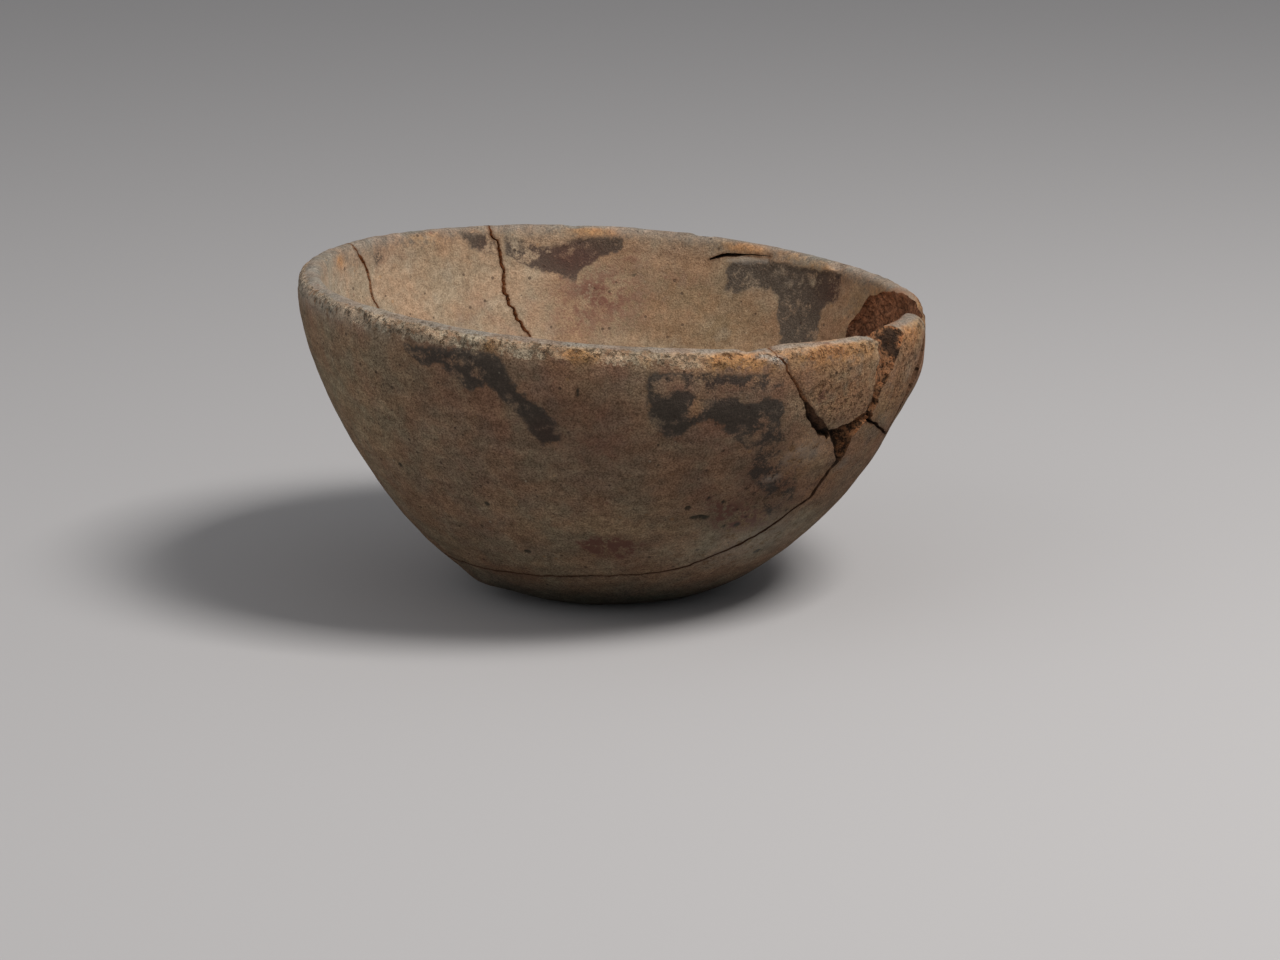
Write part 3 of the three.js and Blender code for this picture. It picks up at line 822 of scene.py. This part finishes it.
class Nodes:
    """A few short words for wiring a material."""

    def __init__(self, tree):
        self.tree = tree

    def add(self, kind, inputs=(), out=0, **settings):
        made = self.tree.nodes.new(kind)
        for key, value in settings.items():
            setattr(made, key, value)
        for key, value in dict(inputs).items():
            socket = made.inputs[key]
            if isinstance(value, bpy.types.NodeSocket):
                self.tree.links.new(value, socket)
            else:
                socket.default_value = value
        return made.outputs[out] if made.outputs else None

    def value(self, name):
        return self.add("ShaderNodeAttribute", out="Fac", attribute_name=name)

    def sum(self, kind, a, b=0.0, clamp=False):
        return self.add("ShaderNodeMath", {0: a, 1: b}, operation=kind, use_clamp=clamp)

    def times(self, *factors):
        made = factors[0]
        for factor in factors[1:]:
            made = self.sum("MULTIPLY", made, factor)
        return made

    def weighed(self, *parts):
        """Several values added up, each with its own weight."""
        made = self.times(*parts[0])
        for part in parts[1:]:
            made = self.sum("ADD", made, self.times(*part))
        return made

    def step(self, value, low, high, to_low=0.0, to_high=1.0):
        inputs = {0: value, 1: low, 2: high, 3: to_low, 4: to_high}
        return self.add("ShaderNodeMapRange", inputs, interpolation_type="SMOOTHSTEP")

    def grain(self, place, size_mm, detail=3.0, rough=0.55):
        inputs = {"Vector": place, "Scale": 1 / (size_mm * MM), "Detail": detail, "Roughness": rough}
        return self.add("ShaderNodeTexNoise", inputs)

    def specks(self, place, apart_mm, share, reach):
        """Scattered grains: one in each cell of the given width, kept for a share of the cells."""
        made = self.tree.nodes.new("ShaderNodeTexVoronoi")
        self.tree.links.new(place, made.inputs["Vector"])
        made.inputs["Scale"].default_value = 1 / (apart_mm * MM)
        lot = self.add("ShaderNodeSeparateColor", {0: made.outputs["Color"]}, "Red")
        size = self.step(lot, 1 - share, 1, 0.35 * reach, reach)
        near = self.sum("SUBTRACT", size, made.outputs["Distance"])
        kept = self.sum("GREATER_THAN", lot, 1 - share)
        return self.times(self.step(near, -0.02, 0.06), kept)

    def stretched(self, place, way):
        return self.add("ShaderNodeVectorMath", {0: place, 1: way}, operation="MULTIPLY")

    def mix(self, share, a, b, blend="MIX"):
        made = self.tree.nodes.new("ShaderNodeMix")
        made.data_type = "RGBA"
        made.blend_type = blend
        for key, value in ((0, share), (6, a), (7, b)):
            if isinstance(value, bpy.types.NodeSocket):
                self.tree.links.new(value, made.inputs[key])
            else:
                made.inputs[key].default_value = value if key == 0 else (*value, 1)
        return made.outputs[2]

    def mottled(self, colour, lot, low, high, dark, pale, share=1.0):
        """A colour taken darker and paler by a grain, between two tints."""
        return self.mix(share, colour, self.mix(self.step(lot, low, high), dark, pale), "MULTIPLY")


# Colours of the clay, its breaks, its paint, its dirt and its painted shade
BUFF = (0.42, 0.32, 0.225)
WARM = (0.385, 0.275, 0.183)
ROSE = (0.29, 0.175, 0.125)
# Painted shade on the far right of the inside
OLIVE_SHADE = (0.235, 0.148, 0.075)
GREY_FILM = (0.40, 0.335, 0.26)
OUTER_BROWN = (0.302, 0.2, 0.132)
OUTER_ROSE = (0.278, 0.168, 0.115)
OUTER_FILM = (0.385, 0.3, 0.195)
ORANGE = (0.46, 0.255, 0.115)
CREAM = (0.54, 0.455, 0.335)
CROWN_GREY = (0.24, 0.23, 0.205)
BREAK_BROWN = (0.31, 0.15, 0.072)
BREAK_ORANGE = (0.43, 0.168, 0.066)
BREAK_DARK = (0.045, 0.025, 0.015)
EDGE_BROWN = (0.15, 0.075, 0.04)
CRACK_BROWN = (0.48, 0.25, 0.13)
SCAR_BROWN = (0.475, 0.235, 0.138)
INK = (0.062, 0.049, 0.039)
INK_RED = (0.085, 0.042, 0.034)
INK_WORN = (0.2, 0.157, 0.122)
INK_WORN_RED = (0.11, 0.052, 0.04)
RUST = (0.205, 0.097, 0.068)
# Painted shade in the pits and low on the wall towards the floor
LOW_AND_PIT_SHADE = (0.03, 0.035, 0.028)
CHALK = (0.58, 0.53, 0.46)
GRIT_DARK = (0.06, 0.04, 0.03)
GRIT_PALE = (0.60, 0.50, 0.38)

# Tints that darken or lighten what lies under them
COOL_TINT, WARM_TINT = (0.94, 1.01, 1.04), (1.08, 0.98, 0.93)
CLOUD_DARK, CLOUD_PALE = (0.87, 0.86, 0.85), (1.12, 1.12, 1.12)
MOTTLE_DARK, MOTTLE_PALE = (0.83, 0.81, 0.79), (1.16, 1.15, 1.14)
SAND_DARK, SAND_PALE = (0.56, 0.53, 0.50), (1.43, 1.42, 1.41)
WIPED_DARK, WIPED_PALE = (0.92, 0.91, 0.9), (1.07, 1.07, 1.07)
SCAR_DARK, SCAR_PALE = (0.62, 0.59, 0.56), (1.3, 1.28, 1.25)
SCAR_SAND_DARK, SCAR_SAND_PALE = (0.6, 0.58, 0.56), (1.36, 1.35, 1.34)
HOLE_TINT, FINE_HOLE_TINT = (0.43, 0.34, 0.27), (0.36, 0.29, 0.23)
# Painted shade low on the wall towards the floor
LOW_SHADE_TINT = (0.64, 0.88, 1.0)

clay = bpy.data.materials.new("fired_clay")
clay.use_nodes = True
clay.node_tree.nodes.clear()
n = Nodes(clay.node_tree)
spot = n.add("ShaderNodeTexCoord", out="Object")
shifted = n.add("ShaderNodeVectorMath", {0: spot, 1: (0.31, 0.17, 0.23)}, operation="ADD")
inner, broken, from_crest = n.value("inside"), n.value("broken"), n.value("from_crest")

# Grains from broad to fine, sizes in millimetres; wiping runs round the wall
broad = n.grain(spot, 26, 3)
patchy = n.grain(shifted, 11, 4, 0.6)
middle = n.grain(spot, 5, 4, 0.6)
small = n.grain(spot, 1.5, 4, 0.65)
sand = n.grain(spot, 0.36, 3, 0.7)
crumb = n.grain(shifted, 1.05, 4, 0.7)
hue = n.grain(shifted, 8, 3, 0.6)
cloud = n.grain(n.stretched(spot, (0.6, 0.6, 1.4)), 3.4, 4, 0.6)
wiping = n.grain(n.stretched(spot, (0.22, 0.22, 1.5)), 2.4, 3, 0.6)
ragged = n.sum("ADD", n.step(small, 0.25, 0.75, -0.9, 0.9), n.step(sand, 0.25, 0.75, -0.4, 0.4))

# Body colour: buff inside, browner outside, with rosy, warm, olive and greyed areas
within_tone = n.mix(n.step(broad, 0.4, 0.6), BUFF, WARM)
outer_tone = n.mix(n.step(patchy, 0.4, 0.62), OUTER_BROWN, OUTER_ROSE)
body = n.mix(inner, outer_tone, within_tone)
body = n.mix(n.times(n.step(patchy, 0.52, 0.7), inner, 0.5), body, ROSE)
# Painted shade on the far right of the inside, in olive-brown
body = n.mix(n.times(n.value("inside_shade"), n.step(middle, 0.3, 0.7, 0.6, 1)), body, OLIVE_SHADE)
film_tone = n.mix(inner, OUTER_FILM, GREY_FILM)
greyed = n.times(n.value("film"), n.step(middle, 0.25, 0.6, 0.4, 1.0))
body = n.mix(greyed, body, film_tone)
body = n.mix(n.step(middle, 0.52, 0.7, 0, 0.35), body, film_tone)

# Worn-through places, and the lip: a rough band outside its crest, a smooth grey crown within
rub = n.times(n.value("rubbed"), n.step(n.sum("ADD", middle, n.times(small, 0.6)), 0.6, 0.85))
body = n.mix(n.sum("MULTIPLY", rub, 1.0, True), body, ORANGE)
way = n.sum("ADD", from_crest, ragged)
crown_edge = n.sum("ADD", from_crest, n.times(ragged, 0.5))
bevel = n.times(n.step(way, -5.0, -4.2), n.step(crown_edge, -2.1, -1.3, 1, 0))
orange_share = n.sum("MAXIMUM", n.value("rubbed"), 0.12)
bare = n.step(n.weighed((orange_share, 0.55), (middle, 0.55), (small, 0.35)), 0.5, 0.84)
band = n.mix(bare, CREAM, ORANGE)
band = n.mix(n.step(n.weighed((small, 0.5), (crumb, 0.5)), 0.4, 0.52, 0.6, 0), band, BREAK_BROWN)
body = n.mix(n.times(bevel, 0.88), body, band)
crown = n.times(n.step(crown_edge, -2.1, -1.3), n.step(way, 0.4, 4.4, 1, 0))
crown = n.times(crown, n.step(middle, 0.35, 0.6, 1, 0.78))
body = n.mix(n.times(crown, n.step(n.value("rubbed"), 0.2, 0.8, 0.85, 0.2)), body, CROWN_GREY)

# Mottle and grain of the clay, and the marks of wiping round, most of them weaker inside
hue_share = n.step(n.sum("MAXIMUM", inner, crown), 0, 1, 1, 0.85)
body = n.mottled(body, hue, 0.34, 0.66, COOL_TINT, WARM_TINT, hue_share)
body = n.mottled(body, cloud, 0.34, 0.66, CLOUD_DARK, CLOUD_PALE, n.step(inner, 0, 1, 1, 0.5))
body = n.mottled(body, small, 0.3, 0.7, MOTTLE_DARK, MOTTLE_PALE)
body = n.mottled(body, sand, 0.3, 0.7, SAND_DARK, SAND_PALE, n.step(inner, 0, 1, 1, 0.65))
body = n.mottled(body, wiping, 0.3, 0.7, WIPED_DARK, WIPED_PALE, n.step(inner, 0, 1, 1, 0.6))

# Rusty stains and scattered rusty flecks
rusty = n.times(n.value("stain"), n.step(n.weighed((small, 0.7), (middle, 0.3)), 0.41, 0.58, 0, 1.15))
body = n.mix(n.sum("MULTIPLY", rusty, 1.0, True), body, RUST)
flecks = n.specks(shifted, 2.4, 0.2, 0.2)
body = n.mix(n.times(flecks, 0.45), body, n.mix(n.step(broad, 0.45, 0.55), ORANGE, RUST))

# Dark painted strokes, ragged at the edge and worn thin
uneven_edge = n.sum("ADD", n.times(ragged, 0.7), n.step(middle, 0.3, 0.7, -0.2, 1.2))
edge = n.sum("ADD", n.value("ink"), uneven_edge)
lot = n.step(n.weighed((middle, 0.55), (small, 0.3), (sand, 0.15)), 0.38, 0.62)
kept = n.step(n.sum("SUBTRACT", lot, n.value("ink_weight")), -0.38, 0.27, 1, 0.1)
painted = n.times(n.step(edge, -0.3, 0.5), kept, n.step(bevel, 0, 1, 1, 0.3))
tone = n.mix(n.times(n.value("ink_red"), n.step(middle, 0.3, 0.6, 0.4, 1)), INK, INK_RED)
thin = n.times(n.step(sand, 0.38, 0.7, 0.08, 0.62), n.step(inner, 0, 1, 0.35, 1))
thin = n.sum("ADD", thin, n.step(n.weighed((middle, 0.6), (small, 0.4)), 0.46, 0.66, 0, 0.5))
worn_tone = n.mix(n.value("ink_red"), INK_WORN, INK_WORN_RED)
body = n.mix(n.times(painted, 0.95), body, n.mix(thin, tone, worn_tone))

# Grit: dark and pale grains, and crumbled holes in the worn band of the lip
dark_grit = n.specks(spot, 1.5, 0.17, 0.26)
fine_grit = n.step(crumb, 0.65, 0.71)
pale_grit = n.specks(shifted, 2.3, 0.06, 0.14)
body = n.mix(n.times(dark_grit, 0.65), body, GRIT_DARK)
body = n.mix(n.times(fine_grit, 0.45), body, GRIT_DARK)
body = n.mix(n.times(pale_grit, 0.45), body, GRIT_PALE)
worn_skin = n.times(bevel, n.step(middle, 0.34, 0.56, 0.45, 1))
sherd_skin = n.times(n.value("crumbled"), n.step(middle, 0.35, 0.6, 0.45, 1))
coarse_skin = n.sum("MAXIMUM", worn_skin, sherd_skin)
holes = n.times(n.step(crumb, 0.53, 0.63), coarse_skin)
body = n.mix(n.times(holes, 0.9), body, HOLE_TINT, "MULTIPLY")
body = n.mix(n.times(n.step(crumb, 0.42, 0.32), coarse_skin, 0.15), body, GRIT_PALE)
body = n.mix(n.times(n.step(sand, 0.56, 0.68), bevel, 0.7), body, FINE_HOLE_TINT, "MULTIPLY")
body = n.mix(n.times(n.step(sand, 0.42, 0.32), bevel, 0.45), body, GRIT_PALE)

# Soil along the cracks; painted shade in the pits and low on the wall towards the floor
edges = n.times(n.step(n.value("seam"), 0.25, 0.95, 0.85, 0), n.step(small, 0.35, 0.6, 0.2, 1))
body = n.mix(edges, body, EDGE_BROWN)
low_and_pit_shade = n.times(n.value("low"), n.step(middle, 0.3, 0.7, 0.3, 0.6))
low_and_pit_shade = n.sum("MAXIMUM", low_and_pit_shade, n.step(n.value("pitted"), 0.3, 0.8, 0, 0.8))
body = n.mix(n.value("low"), body, LOW_SHADE_TINT, "MULTIPLY")
body = n.mix(low_and_pit_shade, body, LOW_AND_PIT_SHADE)
body = n.mix(n.sum("MULTIPLY", n.value("filler"), n.step(small, 0.34, 0.5), True), body, CHALK)

# Broken faces: coarse red-brown clay, with painted shade where they run deepest.
# Cracks hold soil, with painted shade at depth, and the old scar is evenly brown but for painted shade under
# the lip.
depth = n.sum("ADD", n.value("valley"), n.times(ragged, 0.5))
core = n.mix(n.step(small, 0.42, 0.68, 0, 0.9), BREAK_BROWN, BREAK_ORANGE)
core = n.mix(n.step(sand, 0.54, 0.36, 0, 0.75), core, BREAK_DARK)
# Painted shade where the broken faces run deepest
core = n.mix(n.step(depth, 0.5, 1.6, 0.95, 0), core, BREAK_DARK)
core = n.mix(n.step(crumb, 0.51, 0.6, 0, 0.8), core, BREAK_DARK)
# Soiled cracks: brown soil at the mouth, painted shade darkest at depth
soiled_and_shaded = n.mix(n.step(depth, 0.3, 1.4), BREAK_DARK, EDGE_BROWN)
soiled_and_shaded = n.mix(n.step(broken, 0.93, 0.97), CRACK_BROWN, soiled_and_shaded)
core = n.mix(n.step(broken, 0.8, 0.85), core, soiled_and_shaded)
old_scar = n.mottled(SCAR_BROWN, small, 0.3, 0.7, SCAR_DARK, SCAR_PALE)
old_scar = n.mottled(old_scar, sand, 0.3, 0.7, SCAR_SAND_DARK, SCAR_SAND_PALE)
old_scar = n.mix(n.times(n.step(crumb, 0.56, 0.64), 0.4), old_scar, GRIT_DARK)
# Painted shade on the old scar's part under the lip
old_scar = n.mix(n.times(n.value("inside_shade"), 0.85), old_scar, BREAK_DARK)
body = n.mix(n.step(broken, 0.2, 0.3), body, n.mix(n.step(broken, 0.6, 0.65), old_scar, core))

# Relief finer than the mesh
RELIEF_DEPTH = 0.6
coarse = n.sum("MAXIMUM", n.step(broken, 0.2, 0.3), coarse_skin)
height = n.weighed((sand, 0.6), (small, 0.8))
height = n.sum("SUBTRACT", height, n.times(dark_grit, 0.35))
height = n.sum("SUBTRACT", height, n.times(n.step(crumb, 0.5, 0.64), n.step(coarse, 0, 1, 0.15, 0.9)))
height = n.sum("SUBTRACT", height, n.times(painted, 0.1))
strength = n.sum("SUBTRACT", n.step(coarse, 0, 1, 0.5, 1.0), n.times(crown, 0.25))
bump = n.add("ShaderNodeBump", {"Strength": strength, "Distance": RELIEF_DEPTH * MM, "Height": height})
surface = n.add("ShaderNodeBsdfPrincipled", {
    "Base Color": body,
    "Roughness": n.step(painted, 0, 1, 0.93, 0.8),
    "Specular IOR Level": 0.22,
    "Normal": bump,
})
n.add("ShaderNodeOutputMaterial", {"Surface": surface})
mesh.materials.clear()
mesh.materials.append(clay)

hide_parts("bowl")
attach(bowl, "root")

# Floor: plain paper, shown paler than the light it throws back

FLOOR_SIZE = 6
FLOOR_LIT, FLOOR_SEEN = (0.21, 0.207, 0.21), (0.50, 0.49, 0.495)
bpy.ops.object.select_all(action="DESELECT")
bpy.ops.mesh.primitive_plane_add(size=FLOOR_SIZE)
floor = bpy.context.object
floor.name = "floor"
paper = bpy.data.materials.new("floor_paper")
paper.use_nodes = True
paper.node_tree.nodes.clear()
n = Nodes(paper.node_tree)
seen = n.add("ShaderNodeLightPath", out="Is Camera Ray")
tone = n.mix(seen, FLOOR_LIT, FLOOR_SEEN)
sheet = n.add("ShaderNodeBsdfPrincipled", {"Base Color": tone, "Roughness": 0.9, "Specular IOR Level": 0.1})
n.add("ShaderNodeOutputMaterial", {"Surface": sheet})
floor.data.materials.append(paper)

# Light: a soft sky, a key from the right and above, and a weak fill from the left

SKY_COLOUR, SKY_STRENGTH = (0.97, 0.98, 1, 1), 0.25
LAMP_AIM, LAMP_AWAY = Vector((0, 0, 0.03)), 0.9
KEY_FROM, KEY_SIZE, KEY_ENERGY, KEY_COLOUR = (0.475, -0.257, 0.841), 0.3, 7.0, (1, 0.975, 0.94)
FILL_FROM, FILL_SIZE, FILL_ENERGY, FILL_COLOUR = (-0.75, -0.45, 0.48), 0.9, 1.3, (1, 1, 1)

world = bpy.data.worlds.new("studio")
world.use_nodes = True
sky = world.node_tree.nodes["Background"]
sky.inputs["Color"].default_value = SKY_COLOUR
sky.inputs["Strength"].default_value = SKY_STRENGTH
bpy.context.scene.world = world


def lamp(name, stands, size, energy, colour):
    light = bpy.data.lights.new(name, "AREA")
    light.shape = "SQUARE"
    light.size = size
    light.energy = energy
    light.color = colour
    placed = link(name, light)
    way = Vector(stands).normalized()
    placed.location = LAMP_AIM + way * LAMP_AWAY
    placed.rotation_euler = way.to_track_quat("Z", "Y").to_euler()


lamp("key", KEY_FROM, KEY_SIZE, KEY_ENERGY, KEY_COLOUR)
lamp("fill", FILL_FROM, FILL_SIZE, FILL_ENERGY, FILL_COLOUR)

# Camera: distance, height in degrees, and where the middle of the base falls in the frame

CAMERA_AWAY, CAMERA_UP = 0.900, 15.0
FOCAL_PIXELS, FRAME_PIXELS = 4545, (1280, 960)
BASE_PIXEL = (609, 579.5)
SENSOR_WIDTH = 36
view = bpy.data.cameras.new("view")
view.sensor_width = SENSOR_WIDTH
view.lens = FOCAL_PIXELS / FRAME_PIXELS[0] * SENSOR_WIDTH
camera = link("camera", view)
lift = math.radians(CAMERA_UP)
camera.location = (0, -CAMERA_AWAY * math.cos(lift), CAMERA_AWAY * math.sin(lift))
yaw = math.atan((FRAME_PIXELS[0] / 2 - BASE_PIXEL[0]) / FOCAL_PIXELS)
pitch = lift - math.atan((BASE_PIXEL[1] - FRAME_PIXELS[1] / 2) / FOCAL_PIXELS)
camera.rotation_euler = Euler((math.pi / 2 - pitch, 0, -yaw))
scene = bpy.context.scene
scene.camera = camera
scene.view_settings.view_transform = "Standard"
